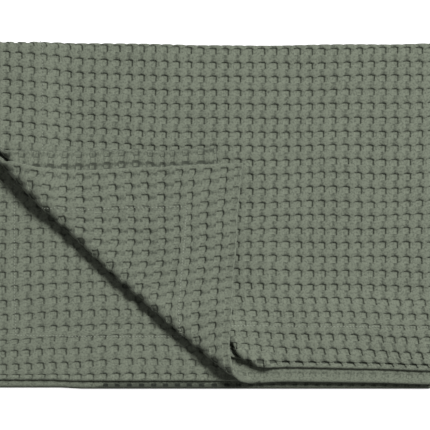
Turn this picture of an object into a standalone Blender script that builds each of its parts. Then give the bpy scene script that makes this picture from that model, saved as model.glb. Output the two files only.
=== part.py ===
"""Waffle weave cotton blanket, folded in quarters, with the top corner turned back.

The cloth is one sheet. It is folded in half across its width, then in half
along its length, so that four hemmed corners meet at the near left. The near
left corner of the two upper layers is turned back over the pile. Units are
metres, +Z is up, and the pile lies on z = 0, with the middle of its box there
at the origin.

Each place on the cloth has two coordinates from when it is spread out flat:
a along its length and b along its width, both 0 in the middle. The layers of
the pile are levels 0, the lowest, to 3, the highest.
"""

import math

import bmesh
import bpy
import numpy as np
from mathutils import Matrix

# Cloth
LENGTH = 1.010             # along X, hem to hem
WIDTH = 0.750              # along Y, hem to hem
CLOTH_THICKNESS = 0.0030
HEM_THICKNESS = 0.0048     # doubled and pressed
HEM_WIDTH = 0.052
HEM_STEP = 0.008           # the thickness changes over this distance

# Distance from one layer of the pile to the next
FIELD_PITCH = 0.0046
HEM_PITCH = 0.0062
PITCH_RUN = 0.030          # the layers close up over this distance
HEMMED_X = -0.192          # left of this every layer may be a hem
HEMMED_Y = -0.113          # nearer than this every layer may be a hem

# Two pairs of layers: the far fold of each, and how far its folds miss the middle lines
PAIRS = {
    "upper": {"far_fold_y": 0.1907, "width_offset": 0.0062, "length_offset": 0.005},
    "lower": {"far_fold_y": 0.1797, "width_offset": -0.0031, "length_offset": 0.005},
}
RIGHT_FOLD_X = 0.2412      # axis of the fold on the right
PAIR_BLEND = 0.100         # across the right fold, one pair's values turn into the other's

# How far the far fold of the upper pair bows out
FAR_BOW = (
    {"x": -0.262, "out": 0.0032},
    {"x": -0.130, "out": 0.0016},
    {"x": 0.030, "out": -0.0010},
    {"x": 0.180, "out": -0.0002},
    {"x": 0.262, "out": 0.0012},
)
FAR_BOW_REACH = 0.300

# The near edges of the upper layers slope toward the near side as they go right
NEAR_SLOPES = {"top": 0.034, "second": 0.018}
SLOPE_PIVOT_X = 0.100
SLOPE_REACH = 0.250

# Turned corner: its axis runs from the left edge to the near edge, bowed toward the corner
TURN_START = (-0.2522, 0.0957)
TURN_END = (0.0417, -0.1801)
TURN_BOW = 0.0152
TURN_SETTLE = 0.040        # the flap comes down on the pile over this distance
FLAP_MARGIN = 0.022        # the flap's layers keep a hem's pitch this far past their hems

# Radius of the turn for its inner and its outer layer, by share of the way along
TURN_RADII = (
    {"share": 0.00, "inner": 0.0050, "outer": 0.0140},
    {"share": 0.18, "inner": 0.0042, "outer": 0.0125},
    {"share": 0.42, "inner": 0.0028, "outer": 0.0086},
    {"share": 0.78, "inner": 0.0028, "outer": 0.0086},
    {"share": 0.95, "inner": 0.0045, "outer": 0.0115},
    {"share": 1.00, "inner": 0.0045, "outer": 0.0115},
)

# How the turned cloth is drawn out: it slips along its axis, toward the near edge, stretches
# away from the axis, and narrows along it
FLAP_DRAW = {
    "inner": {"slip": 0.270, "stretch": 0.99, "narrow": 0.120},
    "outer": {"slip": 0.217, "stretch": 1.13, "narrow": 0.063},
}
FLAP_MIDDLE = 0.70         # share of the way along, toward which the flap narrows
DRAW_START = 0.010         # slip and narrowing set in over this distance

# Lines along which the flat sheet is cut before it is folded
PANEL = 0.046
FAR_CREASES = (0.0, 0.0015, 0.0030, 0.0046, 0.0066)
RIGHT_CREASES = (0.0, 0.0018, 0.0036, 0.0056, 0.0080, 0.0106, 0.0134, 0.0165)
HEM_CREASES = (HEM_WIDTH, HEM_WIDTH + HEM_STEP)
TURN_CREASES = (
    {"layer": "inner", "before": (0.012, 0.026, 0.042, 0.064), "step": 0.0017, "steps": 9,
     "beyond": (0.024, 0.034, 0.046, 0.060, 0.080)},
    {"layer": "outer", "before": (), "step": 0.0040, "steps": 11,
     "beyond": (0.052, 0.062, 0.074, 0.090)},
)
BOW_REACH = (0.090, 0.170)  # the creases follow the turn's bow up to here, and no more past there
EDGE_REACH = 0.030
FOLLOW_ROUNDS = 4

COLOUR = (0.235, 0.262, 0.196, 1.0)
ROUGHNESS = 0.95


def smooth(x):
    """0 up to 0, 1 from 1 on, and a soft step between."""
    x = np.clip(x, 0.0, 1.0)
    return x * x * (3.0 - 2.0 * x)


def along_table(x, table, key, name):
    """A column of a table at x, eased from row to row."""
    value = np.full(np.shape(x), table[0][name])
    for row, following in zip(table, table[1:]):
        step = smooth((x - row[key]) / (following[key] - row[key]))
        value = value + (following[name] - row[name]) * step
    return value


# ---------------------------------------------------------------- the pile

def hem_share(a, b):
    """1 on a hem, 0 off it."""
    edge = np.minimum(LENGTH / 2 - abs(a), WIDTH / 2 - abs(b))
    return 1.0 - smooth((edge - HEM_WIDTH) / HEM_STEP)


def flap_share(a, b):
    """1 on a hem and a little past it, 0 away from it."""
    edge = np.minimum(LENGTH / 2 - abs(a), WIDTH / 2 - abs(b))
    return 1.0 - smooth((edge - HEM_WIDTH - FLAP_MARGIN) / HEM_STEP)


def crowded_share(x, y):
    """1 where the pile's layers are hems, 0 where none is."""
    return 1.0 - smooth(np.minimum(x - HEMMED_X, y - HEMMED_Y) / PITCH_RUN)


def pitch_for(share):
    return FIELD_PITCH + (HEM_PITCH - FIELD_PITCH) * share


def thickness_for(share):
    return CLOTH_THICKNESS + (HEM_THICKNESS - CLOTH_THICKNESS) * share


def level_height(level, x, y, share):
    """Height of the middle of the cloth, where the cloth's own hem share is given."""
    crowded = crowded_share(x, y)
    own = thickness_for(share)
    base = own + (thickness_for(crowded) - own) * np.minimum(level, 1.0)
    return pitch_for(crowded) * level + base / 2


def pile_top(x, y):
    return level_height(3.0, x, y, 0.0)


def pair_value(a, name):
    """A value of the upper pair where a > 0, and of the lower pair where a < 0."""
    low, high = PAIRS["lower"][name], PAIRS["upper"][name]
    return low + (high - low) * smooth(0.5 + a / PAIR_BLEND)


def quarter_folded(a, b):
    """Place in the pile, x, y and level, before the corner is turned."""
    far_radius = pitch_for(crowded_share(RIGHT_FOLD_X - abs(a), 0.0)) / 2
    across = b - pair_value(a, "width_offset")
    angle = np.clip(across / far_radius, -math.pi / 2, math.pi / 2)
    y = pair_value(a, "far_fold_y") + far_radius * (np.cos(angle) + abs(angle)) - abs(across)
    outward = 1.0 + np.sin(angle) / 2

    right_radius = outward * pitch_for(crowded_share(0.0, y))
    along = a - pair_value(a, "length_offset")
    angle = np.clip(along / right_radius, -math.pi / 2, math.pi / 2)
    x = RIGHT_FOLD_X + right_radius * (np.cos(angle) + abs(angle)) - abs(along)
    level = 1.5 + outward * np.sin(angle)

    is_upper = smooth(0.5 + a / PAIR_BLEND)
    near_far_fold = smooth((y - PAIRS["upper"]["far_fold_y"]) / FAR_BOW_REACH + 1.0)
    y = y + along_table(x, FAR_BOW, "x", "out") * near_far_fold * is_upper
    slope = np.where(across > 0, NEAR_SLOPES["top"], NEAR_SLOPES["second"]) * is_upper
    near_edge = smooth((abs(across) - WIDTH / 2 + SLOPE_REACH) / SLOPE_REACH)
    y = y - slope * (x - SLOPE_PIVOT_X) * near_edge
    return x, y, level


# ------------------------------------------------------ the turned corner

TURN_LENGTH = math.dist(TURN_START, TURN_END)
TURN_ALONG = (np.array(TURN_END) - TURN_START) / TURN_LENGTH
TURN_OUT = np.array((TURN_ALONG[1], -TURN_ALONG[0]))  # toward the corner


def turn_bow(along):
    share = np.clip(along / TURN_LENGTH, 0.0, 1.0)
    return TURN_BOW * 4.0 * share * (1.0 - share)


def turn_frame(x, y):
    """How far a place is along the turn's chord, and out from the chord toward the corner."""
    x, y = x - TURN_START[0], y - TURN_START[1]
    return x * TURN_ALONG[0] + y * TURN_ALONG[1], x * TURN_OUT[0] + y * TURN_OUT[1]


def from_turn_frame(along, out):
    x = TURN_START[0] + along * TURN_ALONG[0] + out * TURN_OUT[0]
    y = TURN_START[1] + along * TURN_ALONG[1] + out * TURN_OUT[1]
    return x, y


def flap_draw(is_inner, name):
    return np.where(is_inner, FLAP_DRAW["inner"][name], FLAP_DRAW["outer"][name])


def folded(a, b):
    """Place of the middle of the cloth in the finished pile."""
    x, y, level = quarter_folded(a, b)
    z = level_height(level, x, y, hem_share(a, b))
    along, out = turn_frame(x, y)
    past = out - turn_bow(along)
    share = along / TURN_LENGTH
    inner = along_table(share, TURN_RADII, "share", "inner")
    outer = along_table(share, TURN_RADII, "share", "outer")
    axis_x, axis_y = from_turn_frame(along, turn_bow(along))
    axis_pitch = pitch_for(crowded_share(axis_x, axis_y))
    spare = np.maximum(outer - inner - axis_pitch, 0.0)
    outer = inner + axis_pitch + spare
    is_upper = level > 1.5
    is_top = level > 2.5

    # the top layer rises to the turn
    rise = spare * np.exp(-((past / TURN_SETTLE) ** 2))
    z = np.where(is_top & (past <= 0.0), z + rise, z)

    # around the turn
    radius = np.where(is_top, inner, outer)
    angle = np.clip(past / radius, 0.0, math.pi)
    axis_z = pile_top(axis_x, axis_y) - axis_pitch + outer
    around = axis_z - radius * np.cos(angle)

    # back over the pile
    beyond = np.maximum(past - math.pi * radius, 0.0)
    settled = np.exp(-((beyond / TURN_SETTLE) ** 2))
    drawn = beyond / (beyond + DRAW_START)
    from_middle = along - FLAP_MIDDLE * TURN_LENGTH
    along = along + drawn * (flap_draw(is_top, "slip") * beyond
                             - flap_draw(is_top, "narrow") * from_middle)
    out = turn_bow(along) + radius * np.sin(angle) - flap_draw(is_top, "stretch") * beyond
    turned_x, turned_y = from_turn_frame(along, out)
    own_pitch = pitch_for(flap_share(a, b))
    under = pile_top(turned_x, turned_y) + spare * settled
    first_gap = (own_pitch + pitch_for(crowded_share(turned_x, turned_y))) / 2
    height = under + first_gap + (2 * inner - first_gap) * settled
    second = height + own_pitch + (outer - inner - own_pitch) * settled
    height = np.where(is_top, height, second)

    turned = is_upper & (past > 0.0)
    x = np.where(turned, turned_x, x)
    y = np.where(turned, turned_y, y)
    z = np.where(turned, np.where(beyond > 0.0, height, around), z)
    return np.stack((x, y, z), axis=-1)


# ---------------------------------------------------------- the flat sheet

def cut(bm, faces, point, normal):
    """Cut some faces of the flat sheet along the line through a point."""
    parts = {part for face in faces for part in (face, *face.edges, *face.verts)}
    bmesh.ops.bisect_plane(
        bm, geom=list(parts), dist=1e-6, plane_co=(*point, 0), plane_no=(*normal, 0))


def both_sides(distances, middle):
    return sorted({middle + side * distance for distance in distances for side in (-1, 1)})


def panel_lines(low, high):
    count = max(1, round((high - low) / PANEL))
    return [low + (high - low) * i / count for i in range(count + 1)]


def cut_panels(bm):
    """Cut the sheet along its two folds and its hems, and the rest into panels."""
    upper = PAIRS["upper"]
    hem_b = [WIDTH / 2 - distance for distance in HEM_CREASES]
    hem_a = [LENGTH / 2 - distance for distance in HEM_CREASES]
    panels_b = panel_lines(FAR_CREASES[-1], hem_b[-1])
    panels_a = panel_lines(RIGHT_CREASES[-1] + upper["length_offset"], hem_a[-1])
    lines_b = both_sides(hem_b + panels_b[1:-1], 0.0)
    lines_a = both_sides(hem_a + panels_a[1:-1], 0.0)
    lines_b += both_sides(FAR_CREASES, 0.0)
    lines_a += both_sides(RIGHT_CREASES, upper["length_offset"])
    for b in lines_b:
        cut(bm, bm.faces[:], (0, b), (0, 1))
    for a in lines_a:
        cut(bm, bm.faces[:], (a, 0), (1, 0))


def follow_far_fold(bm):
    """Shift the creases of the far fold to where each pair of layers has it."""
    for vert in bm.verts:
        reach = 1.0 - smooth((abs(vert.co.y) - FAR_CREASES[-1]) / PANEL)
        vert.co.y += pair_value(vert.co.x, "width_offset") * reach


def layer_faces(bm, layer):
    """Faces of the flat sheet that lie in one of the two upper layers, clear of the folds."""
    side = 1 if layer == "inner" else -1
    clear_b = FAR_CREASES[-1] + PAIRS["upper"]["width_offset"]
    clear_a = RIGHT_CREASES[-1] + PAIRS["upper"]["length_offset"]
    return [face for face in bm.faces
            if face.calc_center_median().x > clear_a
            and side * face.calc_center_median().y > clear_b]


def flat_place(x, y, layer):
    """Place on the spread sheet under a place of the pile's upper layers, near enough to cut."""
    side = 1 if layer == "inner" else -1
    upper = PAIRS["upper"]
    turns = 1.5 if layer == "inner" else 0.5
    a = RIGHT_FOLD_X + upper["length_offset"] + turns * FIELD_PITCH * math.pi / 2 - x
    b = side * (upper["far_fold_y"] + FIELD_PITCH * math.pi / 4 - y) + upper["width_offset"]
    return a, b


def cut_turn(bm):
    """Cut the two upper layers along their turn, in straight lines."""
    for row in TURN_CREASES:
        layer = row["layer"]
        normal = (-TURN_OUT[0], -TURN_OUT[1] if layer == "inner" else TURN_OUT[1])
        lines = [-distance for distance in row["before"]]
        lines += [i * row["step"] for i in range(row["steps"] + 1)]
        lines += row["beyond"]
        for out in lines:
            point = flat_place(*from_turn_frame(TURN_LENGTH / 2, out), layer)
            cut(bm, layer_faces(bm, layer), point, normal)


def follow_turn(bm):
    """Shift the creases of the turn sideways on the flat sheet, until they follow its bow."""
    low, high = BOW_REACH
    clear_a, clear_b = RIGHT_CREASES[-1] + 2 * PANEL, FAR_CREASES[-1] + 2 * PANEL
    for layer in ("inner", "outer"):
        side = 1 if layer == "inner" else -1
        verts = list({vert for face in layer_faces(bm, layer) for vert in face.verts})
        a, b = np.array([vert.co.xy for vert in verts]).T
        # beside an edge of the sheet a crease only slides along that edge
        slide_a = TURN_OUT[0] * smooth((LENGTH / 2 - a) / EDGE_REACH)
        slide_b = TURN_OUT[1] * smooth((WIDTH / 2 - abs(b)) / EDGE_REACH)
        gain = slide_a * TURN_OUT[0] + slide_b * TURN_OUT[1]
        origin = flat_place(0.0, 0.0, layer)
        _, straight = turn_frame(origin[0] - a, side * (origin[1] - b))
        keep = (1.0 - smooth((abs(straight) - low) / (high - low)))
        keep = keep * ((a > clear_a) & (abs(b) > clear_b))
        for _ in range(FOLLOW_ROUNDS):
            x, y, _ = quarter_folded(a, b)
            along, out = turn_frame(x, y)
            move = keep * (straight + turn_bow(along) - out) / np.maximum(gain, 0.01)
            a = a - move * slide_a
            b = b - side * move * slide_b
        for vert, new_a, new_b in zip(verts, a, b):
            vert.co = (new_a, new_b, 0.0)


def flat_sheet():
    bm = bmesh.new()
    bmesh.ops.create_grid(bm, x_segments=1, y_segments=1, size=0.5)
    bmesh.ops.scale(bm, vec=(LENGTH, WIDTH, 1), verts=bm.verts)
    cut_panels(bm)
    follow_far_fold(bm)
    cut_turn(bm)
    bm.verts.index_update()
    follow_turn(bm)
    bmesh.ops.triangulate(bm, faces=bm.faces[:])
    return bm


# ------------------------------------------------------------- the blanket

def cotton():
    material = bpy.data.materials.new("waffle_cotton")
    material.use_nodes = True
    shader = material.node_tree.nodes["Principled BSDF"]
    shader.inputs["Base Color"].default_value = COLOUR
    shader.inputs["Roughness"].default_value = ROUGHNESS
    shader.inputs["Metallic"].default_value = 0.0
    return material


def make_blanket(collection):
    bm = flat_sheet()
    mesh = bpy.data.meshes.new("blanket")
    bm.to_mesh(mesh)
    bm.free()
    a, b = np.array([v.co.xy for v in mesh.vertices]).T
    mesh.vertices.foreach_set("co", folded(a, b).ravel())
    blanket = bpy.data.objects.new("blanket", mesh)
    collection.objects.link(blanket)
    mesh.materials.append(cotton())

    weights = thickness_for(hem_share(a, b)) / HEM_THICKNESS
    group = blanket.vertex_groups.new(name="thickness")
    for index, weight in enumerate(weights):
        group.add([index], float(weight), "REPLACE")
    shell = blanket.modifiers.new("thickness", "SOLIDIFY")
    shell.thickness = HEM_THICKNESS
    shell.offset = 0.0
    shell.vertex_group = group.name
    set_down(blanket)
    return blanket


def set_down(blanket):
    """Move the mesh so that the finished solid stands on z = 0, with its box over the origin."""
    bpy.context.view_layer.update()
    solid = blanket.evaluated_get(bpy.context.evaluated_depsgraph_get()).to_mesh()
    corners = np.array([vert.co for vert in solid.vertices])
    low, high = corners.min(axis=0), corners.max(axis=0)
    middle = (low + high) / 2
    blanket.data.transform(Matrix.Translation((-middle[0], -middle[1], -low[2])))


def main():
    for item in list(bpy.data.objects):
        bpy.data.objects.remove(item)
    collection = bpy.data.collections.new("waffle_blanket")
    bpy.context.scene.collection.children.link(collection)
    make_blanket(collection)


main()
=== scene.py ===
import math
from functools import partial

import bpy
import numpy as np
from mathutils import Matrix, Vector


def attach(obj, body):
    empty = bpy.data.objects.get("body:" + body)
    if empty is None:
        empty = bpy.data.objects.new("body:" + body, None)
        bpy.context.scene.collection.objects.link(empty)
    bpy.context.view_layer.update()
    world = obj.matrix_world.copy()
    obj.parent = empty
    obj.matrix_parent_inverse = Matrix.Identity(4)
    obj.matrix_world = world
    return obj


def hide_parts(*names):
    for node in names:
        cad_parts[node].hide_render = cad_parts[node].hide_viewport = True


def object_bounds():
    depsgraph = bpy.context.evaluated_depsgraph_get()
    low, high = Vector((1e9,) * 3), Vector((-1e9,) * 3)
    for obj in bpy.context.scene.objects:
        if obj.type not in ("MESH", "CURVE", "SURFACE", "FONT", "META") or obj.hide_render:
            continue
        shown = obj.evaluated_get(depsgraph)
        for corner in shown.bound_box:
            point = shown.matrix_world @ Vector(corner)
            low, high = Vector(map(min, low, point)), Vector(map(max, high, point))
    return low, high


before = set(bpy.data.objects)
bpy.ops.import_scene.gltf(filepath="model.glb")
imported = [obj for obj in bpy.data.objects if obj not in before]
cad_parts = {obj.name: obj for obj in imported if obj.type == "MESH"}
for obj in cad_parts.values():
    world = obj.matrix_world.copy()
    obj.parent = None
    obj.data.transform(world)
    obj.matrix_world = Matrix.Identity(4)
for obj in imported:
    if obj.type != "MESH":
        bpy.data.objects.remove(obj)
cad_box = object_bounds()

# %% [markdown]
# # A waffle weave cotton blanket, folded in quarters
#
# The real blanket is one rectangle of waffle weave cotton with four wide hems. It is folded
# in half across its width and again along its length. Then the near left corner of the two
# upper layers is turned back over the pile.
#
# A cloth simulation wouldn't fold it so neatly, nor carry thousands of pits. So here the fold
# is a rule: a function takes a place on the spread sheet and gives its place in the pile.
# The weave is laid out on the spread sheet, where it is a plain grid, and goes through the
# fold with it.

rng = np.random.default_rng(8)

# %% [markdown]
# ## The cloth and its size
#
# The sheet is the usual cradle blanket of 75 by 100 cm, a little longer by the give of the
# weave. Waffle weave is thick and airy: over 4 mm in the field, and more where a hem doubles
# it. The pressed layers of the pile lie hardly further apart than the cloth is thick.
# Every place on the sheet has two coordinates, a along its length and b along its width,
# both 0 in the middle.

# %% Sizes of the cloth, in metres
LENGTH = 1.0165
WIDTH = 0.750
CLOTH = 0.0041  # thickness of the field
HEM = 0.0056  # thickness of a hem
HEM_WIDTH = 0.052
HEM_STEP = 0.008  # a hem gains its thickness over this distance
EDGE = ((LENGTH - HEM) / 2, (WIDTH - HEM) / 2)  # a hem rounds off from here

FIELD_PITCH = 0.0046  # from one layer to the next
HEM_PITCH = 0.0062  # the same where hems lie on each other


# %% Helpers for soft changes and tables
def smooth(x):
    """0 up to 0, 1 from 1 on, and a soft step between."""
    x = np.clip(x, 0.0, 1.0)
    return x * x * (3.0 - 2.0 * x)


def bell(*offsets):
    """1 where the offsets are 0, and next to nothing from 2 on."""
    return np.exp(-sum(offset ** 2 for offset in offsets))


def table(columns, *rows):
    """Rows of values under the names of their columns."""
    return [dict(zip(columns.split(), row)) for row in rows]


def along_table(x, rows, key, name):
    """A column of a table at x, eased from row to row."""
    value = np.full(np.shape(x), rows[0][name])
    for row, following in zip(rows, rows[1:]):
        step = smooth((x - row[key]) / (following[key] - row[key]))
        value = value + (following[name] - row[name]) * step
    return value


# %% [markdown]
# ## Folding in quarters
#
# The pile has four layers: level 0 is the lowest and level 3 the top. Round a fold the cloth
# follows a half circle, and past it the cloth runs flat. Hems are thicker than the field, so
# along the left end and the near side the layers lie further apart. Nobody folds a blanket
# quite true: the folds miss the middle lines by 5 to 13 mm, the far fold bows, and the near
# edges slope a little.

# %% How the pile is folded
HEMMED_X, HEMMED_Y = -0.192, -0.113  # left of and nearer than these, layers may be hems
PITCH_RUN = 0.030
PAIRS = {
    "upper": {"far_fold_y": 0.1890, "width_offset": 0.0076},
    "lower": {"far_fold_y": 0.1809, "width_offset": -0.0046},
}
RIGHT_FOLD_X, LENGTH_OFFSET = 0.2412, 0.0128
PAIR_BLEND_A, PAIR_BLEND = 0.0088, 0.022
FAR_BOW = table("x out",
    (-0.262, 0.0020),
    (-0.130, 0.0013),
    (0.030, -0.0010),
    (0.180, 0.0002),
    (0.262, 0.0012),
)
FAR_BOW_REACH = 0.300
NEAR_SLOPES = ((0.010, 0.200), (0.012, 0.100))  # how steep, from which x: top, second
SLOPE_REACH = 0.250
NEAR_SHORT = table("x top second",  # how far the last of a near hem is pushed back
    (0.020, 0.0000, 0.0000),
    (0.085, 0.0037, 0.0033),
    (0.175, 0.0026, 0.0031),
    (0.242, 0.0012, 0.0020),
)
SHORT_REACH = 0.009


def from_edge(a, b):
    return np.minimum(LENGTH / 2 - abs(a), WIDTH / 2 - abs(b))


def hem_share(a, b, margin=0.0):
    """1 on a hem and as far past it as the margin, 0 away from it."""
    return 1.0 - smooth((from_edge(a, b) - HEM_WIDTH - margin) / HEM_STEP)


def crowded_share(x, y):
    """1 where the pile's layers are hems, 0 where none is."""
    return 1.0 - smooth(np.minimum(x - HEMMED_X, y - HEMMED_Y) / PITCH_RUN)


def pitch_for(share):
    return FIELD_PITCH + (HEM_PITCH - FIELD_PITCH) * share


def thickness_for(share):
    return CLOTH + (HEM - CLOTH) * share


def level_height(level, x, y, share):
    crowded = crowded_share(x, y)
    own = thickness_for(share)
    base = own + (thickness_for(crowded) - own) * np.minimum(level, 1.0)
    return pitch_for(crowded) * level + base / 2


def upper_share(a):
    return smooth(0.5 + (a - PAIR_BLEND_A) / PAIR_BLEND)


def pair_value(a, name):
    low, high = PAIRS["lower"][name], PAIRS["upper"][name]
    return low + (high - low) * upper_share(a)


def round_fold(start, distance, radius):
    """Where a place at a distance from a fold comes to lie, and which way it goes up there."""
    angle = np.clip(distance / radius, -math.pi / 2, math.pi / 2)
    return start + radius * (np.cos(angle) + abs(angle)) - abs(distance), np.sin(angle)


def quarter_folded(a, b):
    """Place in the pile, x, y and level, before the corner is turned."""
    along = a - LENGTH_OFFSET
    across = b - pair_value(a, "width_offset")
    far_radius = pitch_for(crowded_share(RIGHT_FOLD_X - abs(along), 0.0)) / 2
    y, up = round_fold(pair_value(a, "far_fold_y"), across, far_radius)
    outward = 1.0 + up / 2
    x, up = round_fold(RIGHT_FOLD_X, along, outward * pitch_for(crowded_share(0.0, y)))
    level = 1.5 + outward * up

    is_upper = upper_share(a)
    near_far_fold = smooth((y - PAIRS["upper"]["far_fold_y"]) / FAR_BOW_REACH + 1.0)
    y = y + along_table(x, FAR_BOW, "x", "out") * near_far_fold * is_upper
    down = np.where(across > 0, *(steep * (x - from_x) for steep, from_x in NEAR_SLOPES))
    near_edge = smooth((abs(across) - WIDTH / 2 + SLOPE_REACH) / SLOPE_REACH)
    y = y - down * near_edge * is_upper
    short = (along_table(x, NEAR_SHORT, "x", layer) for layer in ("top", "second"))
    back = np.where(across > 0, *short)
    y = y + back * smooth((abs(b) - EDGE[1] + SHORT_REACH) / SHORT_REACH) * is_upper
    return x, y, level


# %% [markdown]
# ## Turning the corner back
#
# The turn runs slantwise from the left end to the near side, bowed a little toward the
# corner. The second layer goes round it outside the top one, so the two make loops of
# different size. On the bias a woven cloth gives way: the flap slips along its turn,
# stretches away from it and narrows along it, which is why its hems don't run square to
# the pile's.

# %% How the corner is turned
TURN_START = (-0.2513, 0.0966)
TURN_END = (0.0426, -0.1791)
TURN_BOW = 0.0152
TURN_SETTLE = 0.040
FLAP_MARGIN = 0.022
TURN_RADII = table("share inner outer",
    (0.00, 0.0050, 0.0140),
    (0.18, 0.0042, 0.0125),
    (0.42, 0.0028, 0.0086),
    (0.78, 0.0028, 0.0086),
    (0.95, 0.0045, 0.0115),
)
FLAP_DRAW = {
    "inner": {"slip": 0.050, "stretch": 1.08, "narrow": 0.000},
    "outer": {"slip": 0.217, "stretch": 1.13, "narrow": 0.063},
}
FLAP_MIDDLE = 0.70
DRAW_START = 0.010
LOOP_AT, LOOP_RADIUS = (0.0597, -0.1227), 0.0425  # at the near end the top layer's loop opens
LOOP_TOWARD = (-0.75, -0.66)
LOOP_SIDE = {"from": 0.45, "over": 0.25}  # how squarely it faces that way
LOOP_REACH = 0.022
LOOP_RAISED, LOOP_SUNK, LOOP_TUCK = 0.0080, 0.0040, 0.0035
LOOP_RISE, LOOP_DROP, LOOP_END = 0.012, 0.006, 0.010  # it rises, drops and ends over this
LOOP_BACK = 0.0130  # past the arc the cloth slips in under the turned corner
NEAR_END = {"from": 0.82, "over": 0.16, "past": 0.008}
TURN_LENGTH = math.dist(TURN_START, TURN_END)
TURN_ALONG = (np.array(TURN_END) - TURN_START) / TURN_LENGTH
TURN_OUT = np.array((TURN_ALONG[1], -TURN_ALONG[0]))


def turn_bow(along):
    share = np.clip(along / TURN_LENGTH, 0.0, 1.0)
    return TURN_BOW * 4.0 * share * (1.0 - share)


def turn_frame(x, y):
    """How far a place is along the turn's chord, and out from it toward the corner."""
    x, y = x - TURN_START[0], y - TURN_START[1]
    return x * TURN_ALONG[0] + y * TURN_ALONG[1], x * TURN_OUT[0] + y * TURN_OUT[1]


def from_turn_frame(along, out):
    x = TURN_START[0] + along * TURN_ALONG[0] + out * TURN_OUT[0]
    y = TURN_START[1] + along * TURN_ALONG[1] + out * TURN_OUT[1]
    return x, y


def past_turn(a, b):
    """How far past the turn's axis a place of the sheet is while the pile is flat."""
    x, y, _ = quarter_folded(a, b)
    along, out = turn_frame(x, y)
    return out - turn_bow(along)


def flap_draw(is_inner, name):
    return np.where(is_inner, FLAP_DRAW["inner"][name], FLAP_DRAW["outer"][name])


def open_loop(x, y, z):
    """The top layer at the turn's near end: it rises to an arc, and hangs down behind it."""
    x, y = x - LOOP_AT[0], y - LOOP_AT[1]
    far = np.maximum(np.hypot(x, y), 1e-6)
    past_arc = far - LOOP_RADIUS
    toward = (x * LOOP_TOWARD[0] + y * LOOP_TOWARD[1]) / far
    share = smooth((toward - LOOP_SIDE["from"]) / LOOP_SIDE["over"])
    share = share * smooth(1.8 - past_arc / LOOP_REACH)
    behind = np.maximum(past_arc, 0.0)
    kept = LOOP_TUCK * (1.0 - np.exp(-behind / LOOP_TUCK))
    rise = LOOP_RAISED * np.exp(np.minimum(past_arc, 0.0) / LOOP_RISE)
    drop = (LOOP_RAISED + LOOP_SUNK) * smooth((behind - kept) / LOOP_DROP)
    scale = 1.0 + share * (kept - behind) / far
    return LOOP_AT[0] + x * scale, LOOP_AT[1] + y * scale, z + (rise - drop) * share


# %% The whole fold
def folded(a, b):
    """Place of the middle of the cloth in the finished pile."""
    x, y, level = quarter_folded(a, b)
    z = level_height(level, x, y, hem_share(a, b))
    along, out = turn_frame(x, y)
    past = out - turn_bow(along)
    share = along / TURN_LENGTH
    inner = along_table(share, TURN_RADII, "share", "inner")
    outer = along_table(share, TURN_RADII, "share", "outer")
    axis_x, axis_y = from_turn_frame(along, turn_bow(along))
    axis_pitch = pitch_for(crowded_share(axis_x, axis_y))
    spare = np.maximum(outer - inner - axis_pitch, 0.0)
    outer = inner + axis_pitch + spare
    is_upper = level > 1.5
    is_top = level > 2.5

    # the top layer rises to the turn
    rise = spare * bell(past / TURN_SETTLE)
    z = np.where(is_top & (past <= 0.0), z + rise, z)

    # around the turn
    radius = np.where(is_top, inner, outer)
    angle = np.clip(past / radius, 0.0, math.pi)
    axis_z = level_height(3.0, axis_x, axis_y, 0.0) - axis_pitch + outer
    around = axis_z - radius * np.cos(angle)

    # back over the pile
    beyond = np.maximum(past - math.pi * radius, 0.0)
    settled = bell(beyond / TURN_SETTLE)
    drawn = beyond / (beyond + DRAW_START)
    from_middle = along - FLAP_MIDDLE * TURN_LENGTH
    along = along + drawn * (flap_draw(is_top, "slip") * beyond
                             - flap_draw(is_top, "narrow") * from_middle)
    out = turn_bow(along) + radius * np.sin(angle) - flap_draw(is_top, "stretch") * beyond
    turned_x, turned_y = from_turn_frame(along, out)
    own_pitch = pitch_for(hem_share(a, b, FLAP_MARGIN))
    under = level_height(3.0, turned_x, turned_y, 0.0) + spare * settled
    first_gap = (own_pitch + pitch_for(crowded_share(turned_x, turned_y))) / 2
    height = under + first_gap + (2 * inner - first_gap) * settled
    second = height + own_pitch + (outer - inner - own_pitch) * settled
    height = np.where(is_top, height, second)

    turned = (turned_x, turned_y, np.where(beyond > 0.0, height, around))
    flat = (x, y, z)
    place = [np.where(is_upper & (past > 0.0), new, old) for new, old in zip(turned, flat)]
    opened = np.where(is_top, 1.0 - smooth(beyond / LOOP_END), 0.0)
    x, y, z = (old + (new - old) * opened for new, old in zip(open_loop(*place), place))
    near_end = smooth((share - NEAR_END["from"]) / NEAR_END["over"])
    x = x - np.where(is_top, LOOP_BACK * (near_end * smooth(past / NEAR_END["past"])), 0.0)
    return np.stack((x, y, z), axis=-1)


print("the turned corner lies at", folded(EDGE[0], -EDGE[1]).round(3))

# %% [markdown]
# ## The weave's grid
#
# A waffle weave repeats one cell: a square pit between long floats of yarn that stand up as
# a ridge all round. A cell is a little taller than wide. If the mesh's lines ran anywhere,
# the pits would have ragged rims, so they run where the weave does: two lines at each wall
# of a pit, close together, and some between. Each line has a rank, so that a cell that
# hardly shows can be made with the most important lines only.

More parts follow.
